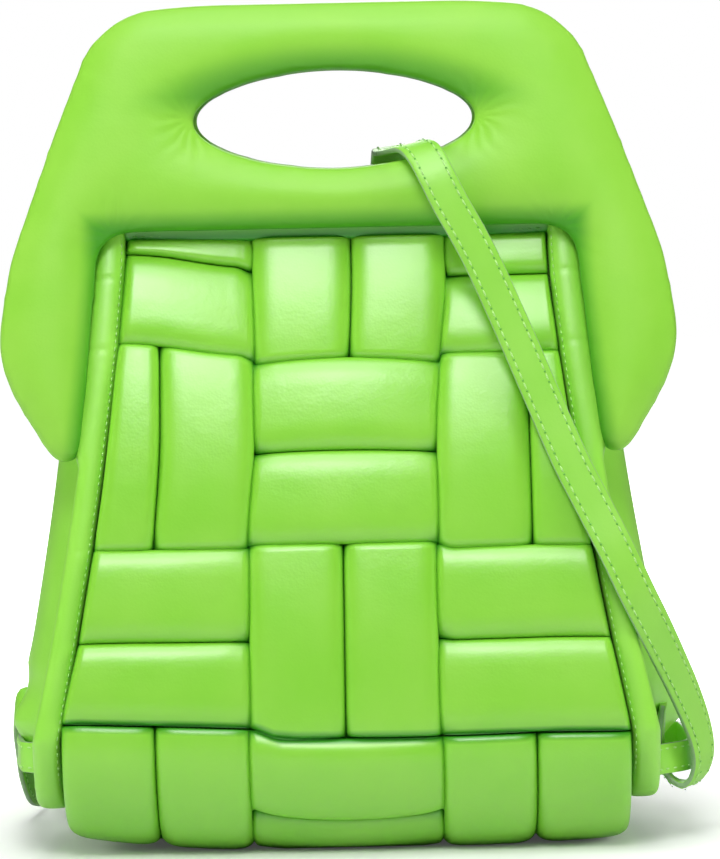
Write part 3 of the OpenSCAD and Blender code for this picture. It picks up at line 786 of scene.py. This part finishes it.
def strip_point(x, s, out, inside, to_end):
    """Point of a strip and its depth, the amount of painted shade, from 0 to 1.

    inside is the way into a cell where the strip lies over, and to_end the way to a sewn end.
    """
    top = UNDER_TOP + (OVER_TOP - UNDER_TOP) * ease((inside + DIVE_OUT) / (DIVE_OUT + DIVE_IN))
    top += BULGE * (1 - (1 - clamp(inside / PITCH)) ** 2)
    back = UNDER_BACK + (OVER_BACK - UNDER_BACK) * ease((inside + BACK_DIVE) / (2 * BACK_DIVE))
    middle = back + EDGE_HEIGHT * (top - back)
    n = middle + (top - middle if out > 0 else middle - back) * out
    n = min(n, n * (0.5 + 0.5 * round_up(to_end / END_ROLL))) - sink(s)
    # painted shade: darker the further a point lies below the top of a strip that lies over
    depth = ease((OVER_TOP - sink(s) - n - CREASE_START) / (CREASE_FULL - CREASE_START))
    # painted shade in the fold between a wall and the base
    depth = max(depth, ease(2 - abs(abs(s) - FOLD_S)))
    stop = DEEPEST - BACK_SINK * sink(s)
    n = stop + (n - stop if n - stop > SOFT_STOP else SOFT_STOP * math.exp((n - stop) / SOFT_STOP - 1))
    dx, ds = wander(x, s)
    point = on_bag(x + dx, s + ds, n)
    corner = CORNER_LIFT_LEFT if x < 0 else CORNER_LIFT_RIGHT
    point.z += corner * MM * abs(x / BASE_HALF_W) ** 2.4 * (1 - ease(point.z / (CORNER_LIFT_H * MM)))
    point.z = max(point.z, CLEAR_OF_GROUND * MM)
    return point, depth


# %% Strips: warps and wefts
STRIP_STEP, STRIP_SIDES = 1.1, 40


def bend_strip(bm, place):
    """Bends a tube into a strip and notes the depth of every point, the amount of painted shade for the
    leather.
    """
    layer = bm.verts.layers.float.new("depth")
    for v in bm.verts:
        v.co, v[layer] = place(v.co.x, v.co.y, v.co.z)
    bmesh.ops.recalc_face_normals(bm, faces=bm.faces)


def warp(name, i, s0, s1, flip=1):
    """One strip that runs up and down, counted from the left."""
    bm = tube(round(abs(s1 - s0) / STRIP_STEP), STRIP_SIDES)

    def place(across, out, along):
        s = s0 + (s1 - s0) * along
        edge = half_w(s) - STRIP_GAP / 2
        left = max((i - 4) * PITCH + STRIP_GAP / 2, -edge)
        right = min((i - 3) * PITCH - STRIP_GAP / 2, edge)
        x = (left + right) / 2 + power(across, WARP_POWER) * (right - left) / 2
        row = sum(abs(s) > e for e in ROW_EDGES)
        over = (row % 2 == 0) == (i in (3, 4))
        inside = min(abs(abs(s) - e) for e in ROW_EDGES) * (1 if over else -1)
        return strip_point(x, s * flip, out, inside, 2 * (STRIP_TOP - abs(s)))

    bend_strip(bm, place)
    return make_piece(name, bm, weave_leather)


def weft(name, s0, s1, outer_over, flip=1):
    """One strip that runs from side to side."""
    bm = tube(round(2 * half_w((s0 + s1) / 2) / STRIP_STEP), STRIP_SIDES)
    low, high = s0 + STRIP_GAP / 2, s1 - STRIP_GAP / 2

    def place(across, out, along):
        s = (low + high) / 2 + power(across, WEFT_POWER) * (high - low) / 2
        end = half_w(s) - STRIP_GAP / 2
        x = (2 * along - 1) * end
        inside = (abs(x) - PITCH) * (1 if outer_over else -1)
        return strip_point(x, s * flip, out, inside, end - abs(x))

    bend_strip(bm, place)
    return make_piece(name, bm, weave_leather)


def lay_strip(made, body, node):
    """Attaches a strip to a body and hides the solid node it stands for."""
    dress(made, body, "woven_leather", node)


SEAM = 0.3  # half the gap where a wall folds off the base
BASE_SPLIT = FOLD_S - PITCH + 3.4  # between the two level strips under the fold
for wall, flip in (("front", 1), ("rear", -1)):
    for i in range(1, 7):
        node = f"{wall}_warp_{i}"
        lay_strip(warp(node + "_pad", i, FOLD_S + SEAM, STRIP_TOP, flip), wall + "_wall", node)
        node = f"{wall}_weft_{i}"
        low = ROW_EDGES[3] + (2 - i) * PITCH
        high = min(low + PITCH, STRIP_TOP)
        low += SEAM if i == 6 else 0
        lay_strip(weft(node + "_pad", low, high, i <= 2 or i >= 5, flip), wall + "_wall", node)
for i in range(1, 7):
    lay_strip(warp(f"base_warp_{i}_pad", i, SEAM - FOLD_S, FOLD_S - SEAM), "base", f"base_warp_{i}")
lay_strip(weft("base_weft_center_pad", -ROW_EDGES[0], ROW_EDGES[0], True), "base", "base_weft_center")
for wall, flip in (("front", 1), ("rear", -1)):
    for height, low, high in (("low", ROW_EDGES[0], BASE_SPLIT), ("high", BASE_SPLIT, FOLD_S - SEAM)):
        node = f"base_weft_{wall}_{height}"
        lay_strip(weft(node + "_pad", low, high, False, flip), "base", node)

# %% [markdown]
# ## Rolled borders
# A strip of leather is folded over a cord and sewn along the edge of the weave. It runs from the top corner
# down to the floor on each side, widens round the foot where the gusset pulls on it, and reaches under the
# handle at the top. The seam next to the weave is a groove with small stitches, and the pieces of the border
# meet in fine joint lines. A plain curve with a round bevel would miss these changes of width, so it is a
# tube bent by its own rule. Wall and foot are one tube.

# %% Borders
BORDER_W, BORDER_FLARE, UNDER_HANDLE = 9.5, 0.8, 2.2  # width, and what is added at the foot and the handle
FLARE_S, FLARE_WAY, HANDLE_S, HANDLE_WAY = 128, 62, 178, 8  # from where and over what way
BORDER_FRONT, BORDER_BACK, BORDER_FOOT = 5.0, 6.8, -9.2  # front and back face; front face under the floor
FOOT_ROUND, FOOT_SHARE = 32, 0.35  # the foot narrows over this way to this share
FOOT_BACK_WAY = 8  # half the way over which the back reaches to the gusset
BORDER_JOINTS, JOINT_W, JOINT_CUT = (247, 221, 149), 1.3, 0.3
BORDER_SQUARE, BORDER_ROUND = 0.75, 0.8  # powers of the section across and through it
BORDER_STITCH, FIRST_STITCH, BORDER_STITCH_SIZE = 2.7, 45, (1.8, 0.5, 0.4)
STITCH_OUT, STITCH_DEEP = 1.6, 1.2  # place of the stitches in the groove
BORDER_SINK = 0.6  # share of the mat's bend that the border follows
CORNER_R, SEW_GAP = 11, 0.3
GUSSET_DEPTH = 10.8


def corner_in(s):
    """The border narrows in a round corner at its top."""
    past = max(0, s - NOTCH_S - 2 + CORNER_R)
    return CORNER_R - math.sqrt(max(0, CORNER_R ** 2 - past ** 2))


def border_front(s):
    """Front face of the border, which turns in under the floor."""
    rise = clamp((s - FLOOR_HALF_D) / (FOLD_S - FLOOR_HALF_D))
    return BORDER_FOOT + (BORDER_FRONT - BORDER_FOOT) * rise ** 1.6


def border(name, side, flip):
    """Rolled edge from the middle of the floor to the top corner, with stitches beside the weave."""
    top = NOTCH_S + 1
    bm = tube(round(top / 1.2), 24)

    def place(across, out, along):
        s = top * along
        joint = max(0, 1 - min(abs(s - j) for j in BORDER_JOINTS) / JOINT_W)
        wide = BORDER_W + BORDER_FLARE * ease((FLARE_S - s) / FLARE_WAY) - corner_in(s) - JOINT_CUT * joint
        wide += UNDER_HANDLE * ease((s - HANDLE_S) / HANDLE_WAY)
        wide *= FOOT_SHARE + (1 - FOOT_SHARE) * round_up((s - FLOOR_HALF_D) / FOOT_ROUND)
        x = half_w(s) + SEW_GAP + wide * (0.5 + 0.5 * power(across, BORDER_SQUARE))
        front = border_front(s) - JOINT_CUT * joint
        to_foot = ease((FOLD_S + FOOT_BACK_WAY - s) / (2 * FOOT_BACK_WAY))
        back = BORDER_BACK + (GUSSET_DEPTH - 0.4 - BORDER_BACK) * to_foot
        n = (front - back) / 2 + power(out, BORDER_ROUND) * (front + back) / 2
        return on_bag(side * x, s * flip, n - BORDER_SINK * sink(s))

    def groove(s):
        n = border_front(s) - STITCH_DEEP - BORDER_SINK * sink(s)
        return on_bag(side * (half_w(s) + STITCH_OUT), s * flip, n)

    bend_tube(bm, place)
    spots = []
    for k in range(round(FIRST_STITCH / BORDER_STITCH), round(top / BORDER_STITCH)):
        here, there = groove(k * BORDER_STITCH), groove(k * BORDER_STITCH + 1)
        spots.append((here, there - here, Vector((0, -flip, 0.2)).normalized()))
    add_stitches(bm, spots, BORDER_STITCH_SIZE, 1)
    return make_piece(name, bm, edge_leather, thread)


for side, hand in ((-1, "left"), (1, "right")):
    for wall, flip in (("front", 1), ("rear", -1)):
        made = border(f"{wall}_{hand}_border_roll", side, flip)
        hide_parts(f"{wall}_{hand}_border", hand + "_base_border")
        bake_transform(made)

# %% [markdown]
# ## Top binding
# A flat strip of leather covers the cut upper ends of the weave. It lies deep in the fold under the handle,
# so its foot carries a painted shade and it is paler above, where it leans forward to meet the handle. A row
# of stitches runs along it, drawn as dark dots in the painted shade of needle holes. A beveled block bent
# onto the mat is enough for a piece of which so little shows.

# %% Bindings
BINDING_H, BINDING_LOW, BINDING_OVER = 8.5, 1.4, 3  # height, and how far it starts below and reaches beyond
BINDING_FRONT, BINDING_BACK, BINDING_LEAN = -5.5, 13.5, 5
BINDING_BEVEL, BINDING_UPPER_SHADE = 0.18, 0.2  # bevel as a share of each side, and the painted shade of the upper part
BINDING_STITCH, BINDING_STITCHES, BINDING_STITCH_SIZE = 3.0, 24, (1.8, 0.6, 0.6)


def binding(name, flip):
    """Flat strip over the upper ends of one wall's weave."""
    bm = bmesh.new()
    bmesh.ops.create_cube(bm, size=1)
    bmesh.ops.bevel(bm, geom=bm.edges[:], offset=BINDING_BEVEL, affect="EDGES", segments=3, profile=0.5,
                    material=-1)
    depth = bm.verts.layers.float.new("depth")
    low = STRIP_TOP - BINDING_LOW
    for v in bm.verts:
        # painted shade: full at the foot of the binding, light on its upper part
        v[depth] = BINDING_UPPER_SHADE + (1 - BINDING_UPPER_SHADE) * ease((0.1 - v.co.z) / 0.3)
        rise = v.co.z + 0.5
        n = (BINDING_FRONT - BINDING_BACK) / 2 - v.co.y * (BINDING_FRONT + BINDING_BACK)
        n += BINDING_LEAN * rise ** 2 * (0.5 - v.co.y)
        v.co = on_bag(v.co.x * 2 * (TOP_HALF_W + BINDING_OVER), (low + rise * BINDING_H) * flip, n)
    bmesh.ops.recalc_face_normals(bm, faces=bm.faces)
    up = on_bag(0, WEAVE_TOP * flip, 1) - on_bag(0, WEAVE_TOP * flip, 0)
    spots = [(on_bag(k * BINDING_STITCH, (low + 2) * flip, BINDING_FRONT), Vector((1, 0, 0)), up)
             for k in range(-BINDING_STITCHES, BINDING_STITCHES + 1)]
    add_stitches(bm, spots, BINDING_STITCH_SIZE, 1)
    return make_piece(name, bm, edge_leather, needle_hole_shade)


for wall, flip in (("front", 1), ("rear", -1)):
    made = binding(wall + "_top_binding_strip", flip)
    dress(made, wall + "_wall", "edge_leather", wall + "_top_binding")
    print(made.name, "faces", len(made.data.polygons))

# %% [markdown]
# ## Gussets
# The sides of the bag are single skins of soft leather. Each is tucked in behind the borders, sewn to them
# along both edges, and swells out between them. The strap pulls the skin in at the keeper, so it stands out
# in one larger swelling just above. A sewn cloth could be simulated, but a sheet of quads moved by a formula
# keeps its edges exactly in the seams. Each side is made in two halves, from the middle of the side to the
# seam at each wall.

# %% Gussets
GUSSET_T, GUSSET_INSET, GUSSET_TOP = 1.8, 5, 238
GUSSET_FOOT, GUSSET_SWELL = 6, 14.5  # how far it swells at the foot and above
SWELL_S, SWELL_WAY = 84, 24
TUCK_IN, TUCK_FROM, TUCK_S, TUCK_WAY = 5, 0.75, 80, 16  # edge tucked in behind the border
PLEAT, PLEAT_S, PLEAT_WAY, PLEAT_AT, PLEAT_HALF = 2.2, 120, 110, 0.78, 0.13  # hollow beside the seam
LUMP_Z, LUMP_H, LUMP = 52, 13, 1.6  # low swelling right across, at this height
# Larger swelling on each side: height, reach below and above, place and half width across, way out
PUFFS = {-1: (45.5, 9, 9, 0.45, 0.22, 8), 1: (46, 11, 20, 0.05, 0.33, 12)}


def gusset_x(s, k):
    """x of the skin at a height and a share of the way from its middle to a seam."""
    swell = GUSSET_FOOT + (GUSSET_SWELL - GUSSET_FOOT) * clamp((s - SWELL_S) / SWELL_WAY)
    return half_w(s) + GUSSET_INSET + swell * (1 - abs(k) ** 2.5)


def gusset_half(name, side, flip):
    """Skin from the middle of the side to the seam at one wall."""
    bm = bmesh.new()
    bmesh.ops.create_grid(bm, x_segments=20, y_segments=80, size=0.5)
    height, below, above, middle, half, puff = PUFFS[side]
    for v in bm.verts:
        k, s = v.co.x + 0.5, FLOOR_HALF_D + (GUSSET_TOP - FLOOR_HALF_D) * (v.co.y + 0.5)
        tuck = TUCK_IN * ease((k - TUCK_FROM) / (1 - TUCK_FROM)) * ease((s - TUCK_S) / TUCK_WAY)
        edge = on_bag(0, s, tuck - GUSSET_DEPTH)
        x = gusset_x(s, k)
        x += LUMP * math.exp(-((edge.z / MM - LUMP_Z) / LUMP_H) ** 2) * (1 - k ** 4)
        off = edge.z / MM - height
        reach = above if off > 0 else below
        x += puff * math.exp(-(off / reach) ** 2 - ((k * flip - middle) / half) ** 2)
        x -= PLEAT * ease((s - PLEAT_S) / PLEAT_WAY) * math.exp(-((k - PLEAT_AT) / PLEAT_HALF) ** 2)
        v.co = Vector((side * x * MM, flip * edge.y * k, edge.z))
    bmesh.ops.recalc_face_normals(bm, faces=bm.faces)
    if sum(f.normal.x for f in bm.faces) * side < 0:
        bmesh.ops.reverse_faces(bm, faces=bm.faces)
    made = make_piece(name, bm, edge_leather)
    skin = made.modifiers.new("skin", "SOLIDIFY")
    skin.thickness, skin.offset = GUSSET_T * MM, -1
    return made


for side, hand in ((-1, "left"), (1, "right")):
    for wall, flip in (("front", 1), ("rear", -1)):
        made = gusset_half(f"{hand}_gusset_{wall}_half", side, flip)
        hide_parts(hand + "_gusset")
        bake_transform(made)

# %% [markdown]
# ## Keepers
# A keeper is a short leather band sewn across the foot of each gusset. Its middle stands off, and the strap
# is looped round it; the right one is pulled out and down by the strap. Its cut edges are painted, and a row
# of stitches runs along each edge. It is a flat belt like the strap, so it is made the same way.

# %% Keepers
KEEPER_H, KEEPER_Z, KEEPER_T, KEEPER_HALF_L = 11, 35, 2.4, 44
KEEPER_SEWN = 0.5  # room behind its sewn ends
KEEPER_ROOM, KEEPER_RAMP = {-1: 5.8, 1: 11.6}, {-1: 8, 1: 20}  # room behind its middle, and way to it
KEEPER_DROP = {-1: 0, 1: 5.5}
KEEPER_TURN = math.acos((HALF_STACK + EDGE_R - KEEPER_Z) / (EDGE_R - GUSSET_DEPTH))
KEEPER_S = FLOOR_HALF_D + EDGE_R * KEEPER_TURN
KEEPER_HALF_D = -on_bag(0, KEEPER_S, -GUSSET_DEPTH).y / MM
KEEPER_ROW, KEEPER_STITCHES, KEEPER_STITCH_SIZE = 3.6, range(-40, 41, 3), (2.2, 0.8, 0.6)


def keeper_x(y, side):
    """x of the middle of the band."""
    share = ease((KEEPER_HALF_L - abs(y)) / KEEPER_RAMP[side])
    room = KEEPER_SEWN + (KEEPER_ROOM[side] - KEEPER_SEWN) * share
    return gusset_x(KEEPER_S, y / KEEPER_HALF_D) + room + KEEPER_T / 2


def keeper(name, side):
    """Band with painted edges and two rows of stitches."""
    bm = tube(60, 24)
    middle = KEEPER_Z - KEEPER_DROP[side]

    def place(across, out, along):
        y = (2 * along - 1) * KEEPER_HALF_L
        x = keeper_x(y, side) + power(out, BELT_ROUND) * KEEPER_T / 2
        return Vector((side * x, y, middle + power(across, BELT_SQUARE) * KEEPER_H / 2)) * MM

    def on_face(y, row):
        return Vector((side * (keeper_x(y, side) + KEEPER_T / 2), y, middle + row * KEEPER_ROW)) * MM

    paint_sides(bm)
    bend_tube(bm, place)
    spots = [(on_face(y, row), on_face(y + 1, row) - on_face(y, row), Vector((side, 0, 0)))
             for row in (-1, 1) for y in KEEPER_STITCHES]
    add_stitches(bm, spots, KEEPER_STITCH_SIZE, 2)
    return make_piece(name, bm, edge_leather, edge_paint, thread)


for side, hand in ((-1, "left"), (1, "right")):
    made = keeper(hand + "_keeper_band", side)
    dress(made, "base", "edge_leather", hand + "_keeper")
    print(made.name, "stands off by", KEEPER_ROOM[side], "mm")

# %% [markdown]
# ## Lining and floor board
# Inside, the walls and the floor are lined with green twill, and a stiff board lies under the floor lining.
# The lining is one thin cloth glued flat. It has no folds to simulate, so it is a sheet that follows the
# mat. The board is flat and keeps the shape of its solid.

# %% Lining cloth
# Twill: fine diagonal ribs, drawn about twice as coarse as real ones so that they show
lining_cloth = two_tone("lining_twill", "ShaderNodeTexWave", "#6a9f45", "#7fb356", 0.85, 0.12,
                        bands_direction="DIAGONAL", Scale=rib_scale(1.6), Distortion=0.6, Detail=1.0)
LINING_T = 1.4
LINING_OVER, FLOOR_IN, FLOOR_ENDS = 4, 3, 8  # how far it reaches beyond the weave, or stays inside it


def lining(name, s0, s1, depth, inset):
    """Cloth over part of the mat's inner side."""
    bm = bmesh.new()
    bmesh.ops.create_grid(bm, x_segments=24, y_segments=48, size=0.5)
    for v in bm.verts:
        s = s0 + (s1 - s0) * (v.co.y + 0.5)
        v.co = on_bag(2 * v.co.x * (half_w(s) - inset), s, -depth - BACK_SINK * sink(s))
    bmesh.ops.recalc_face_normals(bm, faces=bm.faces)
    outward = sum((f.calc_center_median() - Vector(BAG_MIDDLE)).dot(f.normal) for f in bm.faces)
    if outward > 0:
        bmesh.ops.reverse_faces(bm, faces=bm.faces)
    made = make_piece(name, bm, lining_cloth)
    cloth = made.modifiers.new("cloth", "SOLIDIFY")
    cloth.thickness, cloth.offset = LINING_T * MM, 1
    return made


LINING_DEPTH, FLOOR_DEPTH = HALF_STACK + 0.6, HALF_STACK + 3.8
for node, body, s0, s1, depth, inset, flat in (
        ("front_lining", "front_wall", FOLD_S + SEAM, STRIP_TOP, LINING_DEPTH, -LINING_OVER, (0.21, 0.18)),
        ("rear_lining", "rear_wall", -FOLD_S - SEAM, -STRIP_TOP, LINING_DEPTH, -LINING_OVER, (0.21, 0.18)),
        ("base_lining", "base", FLOOR_ENDS - FOLD_S, FOLD_S - FLOOR_ENDS, FLOOR_DEPTH, FLOOR_IN,
         (0.194, 0.149))):
    made = lining(node + "_cloth", s0, s1, depth, inset)
    dress(made, body, "lining_cloth", node)

# %% Floor board
# Pressed fibre board: dull grey-green with small flecks
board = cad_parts["base_board"]
board.data.materials.clear()
board.data.materials.append(two_tone("fibre_board", "ShaderNodeTexNoise", "#8f9488", "#7c8275", 0.9,
                                     Scale=per_metre(1.5), Detail=4))
print("floor board:", board.data.materials[0].name)

# %% [markdown]

# %% Bring the scene up to date
bpy.context.view_layer.update()
